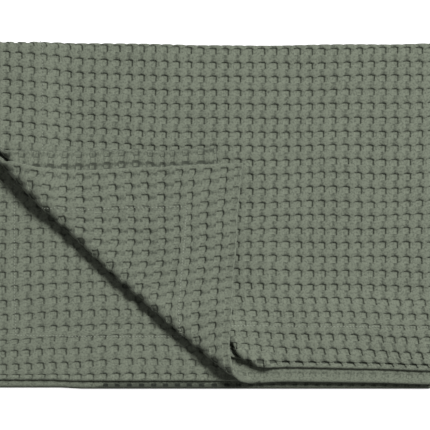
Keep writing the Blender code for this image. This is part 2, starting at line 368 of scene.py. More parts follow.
# %% One cell of the weave
CELL = (0.01362, 0.01565)  # along the length, along the width
PHASE = (0.377, 0.722)  # where the first pit begins, in cells
PIT = (0.50, 0.42)  # size of a pit, in cells
WALL = (0.050, 0.044)  # width of its walls, in cells
RIM_ROWS = 3  # rows of faces from a hem's flat to its middle
DRAWN = (0.0, 0.0066)  # the stitches draw the weave of a hem in by this
DRAWN_FROM, DRAWN_OVER = 0.066, 0.032  # from here off the edge inward, and over this
TOO_NEAR, NO_CELL = 0.05, 0.20  # no line so near the edge, and no new cell, in cells
BETWEEN = (
    ((0.14, 0), (0.25, 0), (0.36, 0), (0.64, 0), (0.75, 1), (0.86, 0)),
    ((0.10, 0), (0.21, 0), (0.32, 0), (0.54, 0), (0.71, 1), (0.87, 0)),
)


def sheet_place(cells, axis):
    """Where a line of the weave lies on the sheet, in metres."""
    even = (cells + PHASE[axis]) * CELL[axis]
    edge = (LENGTH, WIDTH)[axis] / 2
    drawn = smooth((abs(even) - edge + DRAWN_FROM) / DRAWN_OVER) * DRAWN[axis]
    return np.clip(even - np.sign(even) * drawn, -EDGE[axis], EDGE[axis])


def cell_marks(axis):
    """Where the mesh's lines run in one cell, with their ranks; the pit begins at 0."""
    half, pit = WALL[axis] / 2, PIT[axis]
    walls = ((-half, 2), (half, 1), (pit - half, 1), (pit + half, 1))
    return sorted(walls + BETWEEN[axis])


def mesh_lines(axis):
    """Places of all lines of the sheet, in cells, and their ranks; 2 begins a cell."""
    end = (EDGE[axis] + DRAWN[axis]) / CELL[axis]
    first, last = -end - PHASE[axis], end - PHASE[axis]
    places, ranks = [first], [2]
    for cell in range(math.floor(first) - 1, math.ceil(last) + 1):
        for mark, rank in cell_marks(axis):
            place = cell + mark
            from_end = min(place - first, last - place)
            if from_end > TOO_NEAR:
                places.append(place)
                ranks.append(1 if rank == 2 and from_end < NO_CELL else rank)
    return np.array(places + [last]), np.array(ranks + [2])


for axis, name in enumerate(("length", "width")):
    lines, ranks = mesh_lines(axis)
    print(name, "has", (ranks == 2).sum() - 1, "cells and", len(lines), "lines")

# %% [markdown]
# ## Where the weave wanders
#
# Each row below is a place on the sheet around which the weave was pulled aside, how far
# that reaches, and by how much: along the length and across the width. At the far left the
# rows were drawn toward the far side. Along the near hem the weave slid along its stitches.
# A few slow waves on top keep every row from being dead straight.

# %% Places where the weave was pulled
WANDER = table("at reach pull",
    # the far left end of the top layer
    ((0.548, 0.075), (0.115, 0.100), (-0.0010, -0.0120)),
    ((0.458, 0.068), (0.130, 0.040), (0.0000, 0.0026)),
    ((0.473, 0.126), (0.050, 0.018), (0.0000, -0.0035)),
    # its near hem
    ((0.028, 0.400), (0.130, 0.052), (-0.0150, 0.0125)),
    ((0.168, 0.400), (0.230, 0.052), (-0.0135, -0.0025)),
    ((0.328, 0.400), (0.100, 0.060), (-0.0015, -0.0175)),
    # the third layer, where the turned corner uncovers it
    ((-0.482, -0.300), (0.080, 0.250), (-0.0030, -0.0070)),
    ((-0.412, -0.335), (0.090, 0.020), (-0.0035, 0.0000)),
    ((-0.257, -0.365), (0.060, 0.030), (0.0072, 0.0000)),
    # the turned corner
    ((0.438, -0.280), (0.200, 0.200), (-0.0020, -0.0045)),
    ((0.508, -0.370), (0.080, 0.060), (0.0045, 0.0010)),
    ((0.508, -0.250), (0.050, 0.100), (0.0005, 0.0065)),
    ((0.388, -0.360), (0.080, 0.060), (0.0020, 0.0000)),
)
WAVES = 10
WAVE_SIZE = 0.00035
WAVE_TURN = 32.0  # radians in a metre
HELD_EDGE, HELD_LOWER = 0.020, 0.013  # the weave wanders less where it is nearer an edge
wave_way = rng.normal(0.0, 1.0, (WAVES, 2)) * WAVE_TURN
wave_start = rng.uniform(0.0, 2 * math.pi, (WAVES, 2))


def wandered(a, b):
    """Where the weave's place a, b of an even sheet lies on the real one."""
    new_a, new_b = a.copy(), b.copy()
    for row in WANDER:
        near = bell((a - row["at"][0]) / row["reach"][0], (b - row["at"][1]) / row["reach"][1])
        new_a += row["pull"][0] * near
        new_b += row["pull"][1] * near
    for way, start in zip(wave_way, wave_start):
        new_a += WAVE_SIZE * np.sin(way[0] * a + way[1] * b + start[0])
        new_b += WAVE_SIZE * np.sin(way[1] * a - way[0] * b + start[1])
    # the edges of the sheet stay where they are
    keep_a = smooth((EDGE[0] - abs(a)) / HELD_EDGE)
    keep_b = smooth((EDGE[1] - abs(b)) / np.where(a < 0, HELD_LOWER, HELD_EDGE))
    return a + (new_a - a) * keep_a, b + (new_b - b) * keep_b


# %% [markdown]
# ## From the middle of the cloth to its two faces
#
# The fold gives the middle of the cloth. Each face lies half a thickness off it, along the
# cloth's normal, which comes from the fold's own slopes. At a hem's edge the face goes on
# round the rim to meet the other one, so the sheet closes with no seam. Face +1 is the one
# that shows all over the pile, and face -1 the one inside.

# %% Places on the faces
STEP = 0.0002
STITCH_LINE = HEM_WIDTH - 0.0018  # the stitches run just inside the hem's inner edge
SEAM_DENT = 0.0010  # how deep the stitches pull the cloth in
SEAM_REACH = 0.0032
ROLL = 0.0007  # slow unevenness of the pile
ROLL_FROM = 0.012  # it grows up to this height, and a little on
HELD = {  # where the weave is held down, by how much and how far
    "stitches": {"share": 0.60, "reach": 0.0050},
    "far fold": {"share": 0.60, "reach": 0.0060},
    "edge": {"share": 0.92, "reach": 0.0045},
}
LOWER_HELD = 0.18  # in the lower layers it lies flatter
OPEN_ROW = {"in": 0.0085, "reach": 0.0045, "top": 0.75, "third": 0.20}
MARGIN_SHADE = table("a reach much",  # painted shade on the bottom layer's near margin, which lies in the pile's shadow
    (-0.402, 0.000, 1.00),
    (-0.334, 0.010, 1.00),
    (-0.232, 0.010, 1.00),
    (-0.207, 0.010, 0.20),
)
MARGIN_SHADE_STEP = 0.0012


def unit(v):
    return v / np.maximum(np.linalg.norm(v, axis=-1, keepdims=True), 1e-12)


def rolling(x, y):
    """Slow ups and downs of a pile that was patted flat, about -1 to 1."""
    return (np.sin(31 * x + 11 * y + 0.6) + np.sin(-17 * x + 43 * y + 2.1)
            + np.sin(57 * x - 23 * y + 4.0) + 0.7 * np.sin(71 * x + 62 * y + 1.3)) / 2.6


def middle_of(a, b):
    places = folded(a, b)
    above = np.clip(places[..., 2] / ROLL_FROM, 0.0, 1.6)
    places[..., 2] += ROLL * rolling(places[..., 0], places[..., 1]) * above
    return places


def from_stitches(a, b):
    """Distance from the nearest line of stitches."""
    from_a = LENGTH / 2 - abs(a)
    from_b = WIDTH / 2 - abs(b)
    to_a = np.hypot(from_a - STITCH_LINE, np.minimum(from_b - STITCH_LINE, 0.0))
    to_b = np.hypot(from_b - STITCH_LINE, np.minimum(from_a - STITCH_LINE, 0.0))
    return np.minimum(to_a, to_b)


def looseness(a, b):
    """How freely the weave stands up: less at the stitches and on the pressed folds."""
    loose = 1.0
    distances = (from_stitches(a, b), b, from_edge(a, b))
    for distance, held in zip(distances, HELD.values()):
        loose = loose * (1.0 - held["share"] * bell(distance / held["reach"]))
    # the last pits along the width's hems are pulled open
    opened = OPEN_ROW["top"] * ((a > 0) & (b > 0)) + OPEN_ROW["third"] * ((a < 0) & (b < 0))
    open_row = opened * bell((WIDTH / 2 - abs(b) - OPEN_ROW["in"]) / OPEN_ROW["reach"])
    return loose * (1.0 - np.where(a < 0, LOWER_HELD, 0.0)) + open_row


def margin_shade(a, b):
    """How much painted shade the bottom layer's near margin gets, for the pile's shadow on it."""
    reach = along_table(a, MARGIN_SHADE, "a", "reach")
    much = along_table(a, MARGIN_SHADE, "a", "much")
    much = much * smooth((b - WIDTH / 2 + reach) / MARGIN_SHADE_STEP)
    return np.where((a < PAIR_BLEND_A) & (b > 0), much, 0.0)


def face_places(a, b, over_a, over_b, side):
    """Places on a face, and the way outward there; over_a and over_b go on past an edge."""
    inside_a = np.clip(a, -EDGE[0] + STEP, EDGE[0] - STEP)
    inside_b = np.clip(b, -EDGE[1] + STEP, EDGE[1] - STEP)
    way_a = unit(middle_of(inside_a + STEP, inside_b) - middle_of(inside_a - STEP, inside_b))
    way_b = unit(middle_of(inside_a, inside_b + STEP) - middle_of(inside_a, inside_b - STEP))
    normal = unit(np.cross(way_a, way_b)) * side
    half = thickness_for(hem_share(a, b)) / 2
    half = half - SEAM_DENT / 2 * bell(from_stitches(a, b) / SEAM_REACH)
    rim = unit(over_a[..., None] * way_a + over_b[..., None] * way_b)
    turn = np.maximum(abs(over_a), abs(over_b)) * (math.pi / 2)
    outward = normal * np.cos(turn)[..., None] + rim * np.sin(turn)[..., None]
    return middle_of(a, b) + outward * half[..., None], outward


# %% [markdown]
# ## Fine cells where they show
#
# Seven in eight pits of a folded blanket lie inside it or under it. A hidden cell gets one
# face instead of a hundred, so the mesh stays light. The finest cells are where the face
# shows from above. The underside, the rims and the folds get a middle kind, with the walls
# of the pits and little more.

# %% How fine each cell is
FINE, MIDDLE, COARSE = 0, 1, 2  # the lowest rank of line that a cell uses
OVERLAP, THIRD_OVERLAP = 0.012, 0.010  # fine cells go on this far past what shows
FLAP_LEFT, FLAP_NEAR = -0.012, 0.024  # the flap covers what is left of and nearer than these
AT_EDGE, BY_FAR_FOLD, BY_RIGHT_FOLD = 0.016, 0.020, 0.030  # cells so near these aren't coarse
BEFORE_TURN, AFTER_TURN = -0.010, 0.045  # and on the inner face, cells between these
STRIP = 0.030  # the flap shows this much of the top layer's inner face
NEAR_MOUTH = -0.350  # the turn's near end shows the second layer's inner face past this b


def fineness(a, b, side):
    """Lowest rank of line used by the cell at a, b of a face."""
    past = past_turn(a, b)
    x, y, _ = quarter_folded(a, b)
    upper = a > LENGTH_OFFSET
    top, second = upper & (b > 0), upper & (b < 0)
    third, bottom = ~upper & (b < 0), ~upper & (b > 0)
    edge = np.minimum(EDGE[0] - abs(a), EDGE[1] - abs(b))
    by_fold = (abs(b) < BY_FAR_FOLD) | (abs(a - LENGTH_OFFSET) < BY_RIGHT_FOLD)
    middle = (edge < AT_EDGE) | by_fold
    if side > 0:
        covered = (x < FLAP_LEFT) & (y < FLAP_NEAR) & (past < -OVERLAP)
        middle |= bottom
        fine = top & (past < OVERLAP) & ~covered | second & (past > -OVERLAP)
        fine |= third & (past > -THIRD_OVERLAP) | upper & (abs(b) < OVERLAP)
    else:
        middle |= upper & (past > BEFORE_TURN) & (past < AFTER_TURN)
        fine = top & (past > 0.0) & (edge < STRIP) | second & (past < 0.0) & (b < NEAR_MOUTH)
    return np.where(fine, FINE, np.where(middle, MIDDLE, COARSE))


# %% [markdown]
# ## Building the mesh
#
# The blanket is one sheet, but one mesh of it would be too heavy, so it is made in four
# quarters, one for each layer of the pile. They meet inside the pile or under it, just past
# the folds, where nobody looks, and their edges there match point for point. A fine cell is
# a grid of small quads. A coarser one is made of polygons that take in every point their
# neighbours have on the shared border, so there is no gap between them.


# %% Lines of one quarter and its rims
def quarter_lines(axis, low, high):
    """Places in cells, share of the way round a rim, and rank, for lines low to high."""
    lines, ranks = mesh_lines(axis)
    at_low, at_high = low == 0, high == len(lines) - 1
    lines, ranks = lines[low:high + 1], ranks[low:high + 1]
    shares = np.arange(1, RIM_ROWS + 1) / RIM_ROWS
    head, tail = shares[::-1] * at_low, shares * at_high
    head, tail = head[head > 0], tail[tail > 0]
    round_rim = HEM / 2 * math.pi / 2 / CELL[axis]
    lines = np.concatenate((lines[0] - head * round_rim, lines, lines[-1] + tail * round_rim))
    over = np.concatenate((-head, np.zeros(len(ranks)), tail))
    ranks = np.concatenate((np.where(head == 1, 2, 0), ranks, np.where(tail == 1, 2, 0)))
    return lines, over, ranks, at_low, at_high


# %% Blocks of faces on one side of a quarter
def cell_blocks(ranks_a, ranks_b, rank_of_cell):
    """The lines that each cell uses, and which crossings of lines are points."""
    starts_a, starts_b = np.flatnonzero(ranks_a == 2), np.flatnonzero(ranks_b == 2)
    used = np.zeros((len(ranks_a), len(ranks_b)), bool)
    blocks = []
    for i, j in np.ndindex(rank_of_cell.shape):
        rank = rank_of_cell[i, j]
        rows = np.arange(starts_a[i], starts_a[i + 1] + 1)
        columns = np.arange(starts_b[j], starts_b[j + 1] + 1)
        rows, columns = rows[ranks_a[rows] >= rank], columns[ranks_b[columns] >= rank]
        used[np.ix_(rows, columns)] = True
        blocks.append((rank, rows, columns))
    return blocks, used


def block_faces(blocks, used):
    """Faces as lists of points' numbers in one flat grid."""
    number = np.arange(used.size).reshape(used.shape)
    faces = []
    for rank, rows, columns in blocks:
        if rank == FINE:
            block = number[np.ix_(rows, columns)]
            quads = (block[:-1, :-1], block[1:, :-1], block[1:, 1:], block[:-1, 1:])
            faces += np.stack(quads, -1).reshape(-1, 4).tolist()
            continue
        for i0, i1 in zip(rows, rows[1:]):
            for j0, j1 in zip(columns, columns[1:]):
                low, high = number[i0:i1, j0][used[i0:i1, j0]], number[i1, j0:j1][used[i1, j0:j1]]
                back = number[i0 + 1:i1 + 1, j1][used[i0 + 1:i1 + 1, j1]][::-1]
                home = number[i0, j0 + 1:j1 + 1][used[i0, j0 + 1:j1 + 1]][::-1]
                faces.append(np.concatenate((low, high, back, home)).tolist())
    return faces


# %% Walls that lean back under the floats
UNDERCUT = 0.030  # in cells


def undercut(cells_a, cells_b):
    """Cells' places with the foot of each pit's walls pushed out under its rim."""
    moved, inside = [], True
    for axis, cells in ((0, cells_a), (1, cells_b)):
        off = np.mod(cells - PIT[axis] / 2 + 0.5, 1.0) - 0.5
        inside &= abs(off) < PIT[axis] / 2 - 0.4 * WALL[axis]
        foot = abs(off) > PIT[axis] / 2 - 0.6 * WALL[axis]
        moved.append(np.where(foot, np.sign(off) * (WALL[axis] + UNDERCUT), 0.0))
    return cells_a + moved[0] * inside, cells_b + moved[1] * inside


# %% One quarter of the blanket
INNER_SHIFT = (0.56, -0.41)  # the inner face's pits against the outer face's, in cells
INNER_LOOSE = 0.45  # it is pressed flatter inside the pile
FREE_LOOSE = 1.30  # and stands up where the flap leaves it free


def add_object(name, data):
    item = bpy.data.objects.new(name, data)
    bpy.context.scene.collection.objects.link(item)
    return item


def keep_attribute(mesh, label, values):
    """Store a number or a vector for each point."""
    kind, field = ("FLOAT", "value") if values.ndim == 1 else ("FLOAT_VECTOR", "vector")
    mesh.attributes.new(label, kind, "POINT").data.foreach_set(
        field, values.astype(np.float32).ravel())


def build_quarter(name, lines_a, lines_b):
    """A closed mesh of the sheet between the given numbers of lines."""
    cells_a, over_a, ranks_a, low_a, high_a = quarter_lines(0, *lines_a)
    cells_b, over_b, ranks_b, low_b, high_b = quarter_lines(1, *lines_b)
    run_a, run_b = np.meshgrid(over_a, over_b, indexing="ij")
    weave = np.stack(np.meshgrid(cells_a, cells_b, [0.0], indexing="ij"), -1).reshape(-1, 3)
    size = len(weave)
    starts = sheet_place(cells_a[ranks_a == 2], 0), sheet_place(cells_b[ranks_b == 2], 1)
    middles = np.meshgrid(*((line[:-1] + line[1:]) / 2 for line in starts), indexing="ij")
    number = np.arange(size).reshape(run_a.shape)
    borders = ((low_a, number[0]), (high_a, number[-1, ::-1]),
               (low_b, number[::-1, 0]), (high_b, number[:, -1]))
    cuts = [line for at_edge, line in borders if not at_edge]

    # both sides have every point of the cuts, and share those at the middle of a rim
    shared = (abs(run_a) == 1) | (abs(run_b) == 1)
    outer_blocks, outer_used = cell_blocks(ranks_a, ranks_b, fineness(*middles, 1))
    inner_blocks, inner_used = cell_blocks(ranks_a, ranks_b, fineness(*middles, -1))
    either = (outer_used | inner_used) & shared
    for line in cuts:
        either.flat[line] = True
    faces = block_faces(outer_blocks, outer_used | either)
    inner_faces = block_faces(inner_blocks, inner_used | either)
    faces += [[p + size for p in face[::-1]] for face in inner_faces]
    # close the cuts between the two sides
    for line in cuts:
        faces += [[p, q, q + size, p + size] for p, q in zip(line, line[1:])]

    target = np.arange(2 * size)
    target[size:][shared.ravel()] = target[:size][shared.ravel()]
    tidy = []
    for face in faces:
        face = [int(target[p]) for p in face]
        face = [p for k, p in enumerate(face) if p != face[k - 1]]
        if len(face) > 2:
            tidy.append(face)
    keep = np.zeros(2 * size, bool)
    keep[np.concatenate(tidy)] = True
    renumber = (np.cumsum(keep) - 1).tolist()

    # the inner face's pits are hardly seen, so only the outer face gets leaning walls
    even = np.meshgrid(cells_a, cells_b, indexing="ij")
    grids = [wandered(sheet_place(u, 0), sheet_place(v, 1)) for u, v in (undercut(*even), even)]
    sides = [face_places(*grid, run_a, run_b, side) for grid, side in zip(grids, (1, -1))]
    points = np.concatenate([place.reshape(-1, 3) for place, _ in sides])[keep]
    mesh = bpy.data.meshes.new(name)
    mesh.from_pydata(points, [], [[renumber[p] for p in face] for face in tidy])

    # the flap leaves a strip of the top layer's inner face free
    free = (grids[1][0] > 0) & (grids[1][1] > 0) & (past_turn(*grids[1]) > 0.0)
    shares = (1.0, np.where(free, FREE_LOOSE, INNER_LOOSE))
    kept = {
        "weave": (weave, weave + (*INNER_SHIFT, 1.0)),
        "outward": [way.reshape(-1, 3) for _, way in sides],
        "loose": [(looseness(*grid) * share).ravel() for grid, share in zip(grids, shares)],
        "margin_shade": [margin_shade(*grid).ravel() for grid in grids],
    }
    for label, values in kept.items():
        keep_attribute(mesh, label, np.concatenate(values)[keep])
    return add_object(name, mesh)


# %% The four quarters, before their relief
CUT_A = -0.0102  # under the pile, just past the fold on the right
CUT_B = 0.018  # inside it, this far past the far fold


def line_near(axis, place):
    lines, ranks = mesh_lines(axis)
    begins = np.flatnonzero(ranks == 2)
    return int(begins[np.argmin(abs(sheet_place(lines[begins], axis) - place))])


cut_a = line_near(0, CUT_A)
cut_upper, cut_lower = line_near(1, -CUT_B), line_near(1, CUT_B)
end_a, end_b = len(mesh_lines(0)[0]) - 1, len(mesh_lines(1)[0]) - 1
QUARTERS = {
    "top_layer": ((cut_a, end_a), (cut_upper, end_b)),
    "second_layer": ((cut_a, end_a), (0, cut_upper)),
    "third_layer": ((0, cut_a), (0, cut_lower)),
    "bottom_layer": ((0, cut_a), (cut_lower, end_b)),
}
quarters = {name: build_quarter(name, *lines) for name, lines in QUARTERS.items()}

# %% [markdown]
# ## The waffle relief
#
# Displacement in a material would give no shape in the mesh. Geometry Nodes move the points
# themselves, by where each is in its cell: inside the pit it goes in, the rows between pits
# dip a little, and the pads between the columns swell. No two pits of a real weave are
# equally deep, so each cell draws its own depth. The tree also keeps which part of the
# relief a point belongs to, for the material to paint its shade by.


# %% Small helpers for node trees
def add_node(tree, kind, inputs=(), **settings):
    """A node with its settings; each input, in order or by name, gets a value or a socket."""
    node = tree.nodes.new(kind)
    for name, value in settings.items():
        setattr(node, name, value)
    for slot, value in inputs.items() if isinstance(inputs, dict) else enumerate(inputs):
        if isinstance(value, bpy.types.NodeSocket):
            tree.links.new(value, node.inputs[slot])
        else:
            node.inputs[slot].default_value = value
    return node


def math_node(tree, operation, *values, clamp=False):
    return add_node(tree, "ShaderNodeMath", values, operation=operation, use_clamp=clamp).outputs[0]


def math_for(tree):
    """Functions for math nodes: one that takes an operation, and three for the usual ones."""
    calc = partial(math_node, tree)
    return calc, *(partial(calc, name) for name in ("MULTIPLY", "SUBTRACT", "MULTIPLY_ADD"))


def soft_step(tree, value, low, high):
    """0 below low and 1 above high, where both may be sockets."""
    inputs = {"Value": value, "From Min": low, "From Max": high}
    node = add_node(tree, "ShaderNodeMapRange", inputs, interpolation_type="SMOOTHSTEP")
    return node.outputs["Result"]


def read(tree, name, kind="FLOAT_VECTOR"):
    node = add_node(tree, "GeometryNodeInputNamedAttribute", {"Name": name}, data_type=kind)
    return node.outputs["Attribute"]


def start_tree(name, values):
    """A tree that takes geometry and the named values, and all that it is given."""
    tree = bpy.data.node_groups.new(name, "GeometryNodeTree")
    tree.interface.new_socket("Geometry", in_out="INPUT", socket_type="NodeSocketGeometry")
    for label, value in values.items():
        socket = tree.interface.new_socket(label, in_out="INPUT", socket_type="NodeSocketFloat")
        socket.default_value = value
    tree.interface.new_socket("Geometry", in_out="OUTPUT", socket_type="NodeSocketGeometry")
    return tree, tree.nodes.new("NodeGroupInput").outputs


def pushed_in(tree, geometry, depth):
    """The geometry with its points pushed into the cloth."""
    inputs = {0: read(tree, "outward"), "Scale": math_node(tree, "MULTIPLY", depth, -1.0)}
    offset = add_node(tree, "ShaderNodeVectorMath", inputs, operation="SCALE")
    inputs = {"Geometry": geometry, "Offset": offset.outputs[0]}
    return add_node(tree, "GeometryNodeSetPosition", inputs).outputs[0]


def end_tree(tree, geometry, material):
    real = add_node(tree, "GeometryNodeRealizeInstances", (geometry,))
    inputs = {"Geometry": real.outputs[0], "Material": material}
    paint = add_node(tree, "GeometryNodeSetMaterial", inputs)
    add_node(tree, "NodeGroupOutput", (paint.outputs[0],))
    return tree


# %% The tree for the relief
RELIEF = {
    "Pit Length": PIT[0], "Pit Width": PIT[1], "Wall Length": WALL[0], "Wall Width": WALL[1],
    "Pit Depth": 0.0023, "Depth Change": 0.30, "Valley Depth": 0.0011, "Pad Swell": 0.00035,
    "Step Depth": 0.0008, "Step Bulge": 0.10,
}


def relief_tree(material):
    tree, given = start_tree("waffle_relief", RELIEF)
    calc, times, minus, times_plus = math_for(tree)
    place = read(tree, "weave")
    column, row, _ = add_node(tree, "ShaderNodeSeparateXYZ", (place,)).outputs

    def from_middle(value, size):
        """Distance from the middle of a pit, in cells, 0 to 0.5."""
        shifted = minus(value, times_plus(size, 0.5, 0.5))
        return calc("ABSOLUTE", minus(calc("FRACT", shifted), 0.5))

    def inside(distance, size, wall):
        low = times(minus(size, wall), 0.5)
        high = times(calc("ADD", size, wall), 0.5)
        return minus(1.0, soft_step(tree, distance, low, high))

    length, width = given["Pit Length"], given["Pit Width"]
    from_a, from_b = from_middle(column, length), from_middle(row, width)
    in_column = inside(from_a, length, given["Wall Length"])
    in_row = inside(from_b, width, given["Wall Width"])
    off_column = minus(1.0, in_column)
    half_width = times(width, 0.5)

    # each pit has its own depth
    eased = add_node(tree, "ShaderNodeVectorMath", (place, (0.2, 0.2, 0.0)), operation="ADD")
    cell = add_node(tree, "ShaderNodeVectorMath", (eased.outputs[0],), operation="FLOOR")
    chance = add_node(tree, "ShaderNodeTexWhiteNoise", {"Vector": cell.outputs[0]},
                      noise_dimensions="3D")
    share = minus(1.0, times(chance.outputs["Value"], given["Depth Change"]))
    in_pit = times(in_column, in_row)
    pit = times(in_pit, times(given["Pit Depth"], share))

    # between two pits of a column the pads meet in a valley
    near_middle = minus(1.0, calc("DIVIDE", from_a, 0.30), clamp=True)
    valley = calc("POWER", near_middle, 1.5)
    toward_pit = times_plus(soft_step(tree, from_b, 0.5, half_width), 0.45, 0.55)
    valley = times(times(valley, toward_pit), times(minus(1.0, in_row), given["Valley Depth"]))

    # beside a pit the pads lie lower, and the higher ones bulge over them
    bulge = times(soft_step(tree, from_a, 0.25, 0.5), given["Step Bulge"])
    edge = minus(half_width, bulge)
    half = times(given["Wall Width"], 0.7)
    beside = minus(1.0, soft_step(tree, from_b, minus(edge, half), calc("ADD", edge, half)))
    beside = times(beside, off_column)
    step = times(beside, given["Step Depth"])

    # the pads swell in the middle
    swell = times(minus(1.0, soft_step(tree, from_b, 0.15, 0.5)), given["Pad Swell"])

    down = calc("ADD", calc("ADD", pit, valley), calc("ADD", step, swell))
    down = times(down, read(tree, "loose", "FLOAT"))
    moved = pushed_in(tree, given["Geometry"], down)

    # shares of pit, valley and step, kept for the material's painted shade
    shares = (in_pit, calc("DIVIDE", valley, given["Valley Depth"]), beside)
    parts = add_node(tree, "ShaderNodeCombineXYZ", shares)
    inputs = {"Geometry": moved, "Name": "relief", "Value": parts.outputs[0]}
    store = add_node(tree, "GeometryNodeStoreNamedAttribute", inputs,
                     data_type="FLOAT_VECTOR", domain="POINT")
    return end_tree(tree, store.outputs[0], material)


def made_plain(piece, tree):
    """Run a node tree on a piece, and keep the result as its plain mesh."""
    modifier = piece.modifiers.new(tree.name, "NODES")
    modifier.node_group = tree
    bpy.context.view_layer.update()
    graph = bpy.context.evaluated_depsgraph_get()
    mesh = bpy.data.meshes.new_from_object(
        piece.evaluated_get(graph), preserve_all_data_layers=True, depsgraph=graph)
    piece.modifiers.remove(modifier)
    old, piece.data = piece.data, mesh
    bpy.data.meshes.remove(old)
    mesh.name = piece.name
    mesh.polygons.foreach_set("use_smooth", np.ones(len(mesh.polygons), bool))
    return piece


# %% [markdown]
# ## The cotton
#
# The cloth is dyed in one sage green. Up close it is spun yarn: long floats that run along
# the pads and a little fuzz. Down in the pits, where the weave is tight and light hardly
# comes, the colour gets painted shade. The yarns are far too fine for the mesh, so they are a
# bump that follows the weave's own coordinates, and they turn and fold with the cloth.

# %% The cotton's material
SAGE = (0.131, 0.147, 0.111, 1.0)
# the colour toward which painted shade and the cloth's random darker tone are mixed
SAGE_SHADE_AND_MOTTLE = (0.050, 0.057, 0.043, 1.0)
YARNS = 15  # yarns across one cell
SQUARE_Y = 0.99  # middle of the pits painted dark on the shaded margin, in cells


def start_material(name, inputs):
    """A material and its shader, with the shader's inputs set."""
    material = bpy.data.materials.new(name)
    material.use_nodes = True
    shader = material.node_tree.nodes["Principled BSDF"]
    for slot, value in inputs.items():
        shader.inputs[slot].default_value = value
    return material, shader


def cotton():
    material, shader = start_material("waffle_cotton", {
        "Roughness": 0.95, "Specular IOR Level": 0.20, "Sheen Weight": 0.10,
        "Sheen Roughness": 0.60, "Sheen Tint": (0.80, 0.86, 0.74, 1.0)})
    tree = material.node_tree
    calc, times, minus, times_plus = math_for(tree)

    def attribute(name):
        return add_node(tree, "ShaderNodeAttribute", attribute_name=name)

    weave = attribute("weave").outputs["Vector"]
    column, row, on_inner = add_node(tree, "ShaderNodeSeparateXYZ", (weave,)).outputs
    metres = add_node(tree, "ShaderNodeVectorMath", (weave, (*CELL, 1.0)), operation="MULTIPLY")

    def noise(scale, detail):
        inputs = {"Vector": metres.outputs[0], "Scale": scale, "Detail": detail}
        node = add_node(tree, "ShaderNodeTexNoise", inputs)
        return minus(node.outputs["Fac"], 0.5)

    fuzz, mottle, slow = noise(480.0, 4.0), noise(220.0, 3.0), noise(18.0, 2.0)

    # floats of yarn, along the width on the pads
    turns = times_plus(column, 2 * math.pi * YARNS, times(mottle, 2.4))
    yarn = times(calc("SINE", turns), 0.5)

    # painted shade: the walls of pits and steps and the valleys are painted darker, for the shade
    # in the gaps under the floats
    relief = attribute("relief").outputs["Vector"]
    pit, valley, step = add_node(tree, "ShaderNodeSeparateXYZ", (relief,)).outputs

    def wall(share):
        return times(times(share, minus(1.0, share)), 4.0)

    def square(value, middle, low, high):
        """1 within low of the middle of each cell's mark, 0 past high."""
        off = minus(calc("FRACT", calc("ADD", value, 0.5 - middle)), 0.5)
        return minus(1.0, soft_step(tree, calc("ABSOLUTE", off), low, high))

    darker = times(wall(pit), 0.85)
    darker = times_plus(wall(step), 0.32, darker)
    darker = times_plus(valley, 0.85, darker)

    # painted shadow: a pit that is pulled open is painted dark at its far side, the side its wall
    # shades from the light; on an inner face that is another wall
    loose = attribute("loose").outputs["Fac"]
    far_outer = square(row, 0.12, 0.09, 0.16)
    far_inner = square(column, PIT[0] - 0.10, 0.09, 0.16)
    far_shadow = times_plus(on_inner, minus(far_inner, far_outer), far_outer)
    opened = times(pit, calc("MAXIMUM", minus(loose, 1.0), 0.0))
    opened = times(opened, far_shadow)

    # painted shade: the bottom layer's near margin, in the pile's shadow, is painted darker, and
    # its pits are painted as dark squares
    margin = attribute("margin_shade").outputs["Fac"]
    pit_shade_squares = times(square(column, 0.25, 0.19, 0.25), square(row, SQUARE_Y, 0.10, 0.16))
    pit_shade_squares = times(pit_shade_squares, times(margin, 6.0, clamp=True))

    # painted shade from the open pits and the shaded margin; darker where the weave is looser;
    # random tone from mottle, fuzz and slow changes, and lighter floats
    darker = times_plus(darker, loose, 0.16)
    for share, weight in (
            (opened, 3.0), (margin, 0.95), (mottle, -0.90), (fuzz, -2.60), (slow, -0.25)):
        darker = times_plus(share, weight, darker)
    darker = times_plus(yarn, -0.08, darker, clamp=True)
    darker = times_plus(pit_shade_squares, 0.45, darker)
    inputs = {"Factor": darker, "A": SAGE, "B": SAGE_SHADE_AND_MOTTLE}
    tone = add_node(tree, "ShaderNodeMix", inputs, data_type="RGBA", clamp_factor=False)
    tree.links.new(tone.outputs["Result"], shader.inputs["Base Color"])

    height = times_plus(yarn, 0.5, times(fuzz, 1.1))
    height = calc("ADD", mottle, height)
    inputs = {"Strength": 0.7, "Distance": 0.0004, "Height": height}
    bump = add_node(tree, "ShaderNodeBump", inputs)
    tree.links.new(bump.outputs["Normal"], shader.inputs["Normal"])
    return material


cotton_material = cotton()
relief = relief_tree(cotton_material)
for piece in quarters.values():
    made_plain(piece, relief)
    triangles = sum(len(face.vertices) - 2 for face in piece.data.polygons)
    print(piece.name, triangles, "triangles")

# %% [markdown]
# ## The stitches
#
# Each hem is sewn down with a row of small stitches, in thread dyed with the cloth. Geometry
# Nodes needs only a bare point for each one. The points lie along the seam, and each knows
# the way of the seam and the way outward. The tree puts a small spindle of thread on every
# point, turned that way.

# %% Points along the seams of one layer
STITCH_GAP = 0.0036


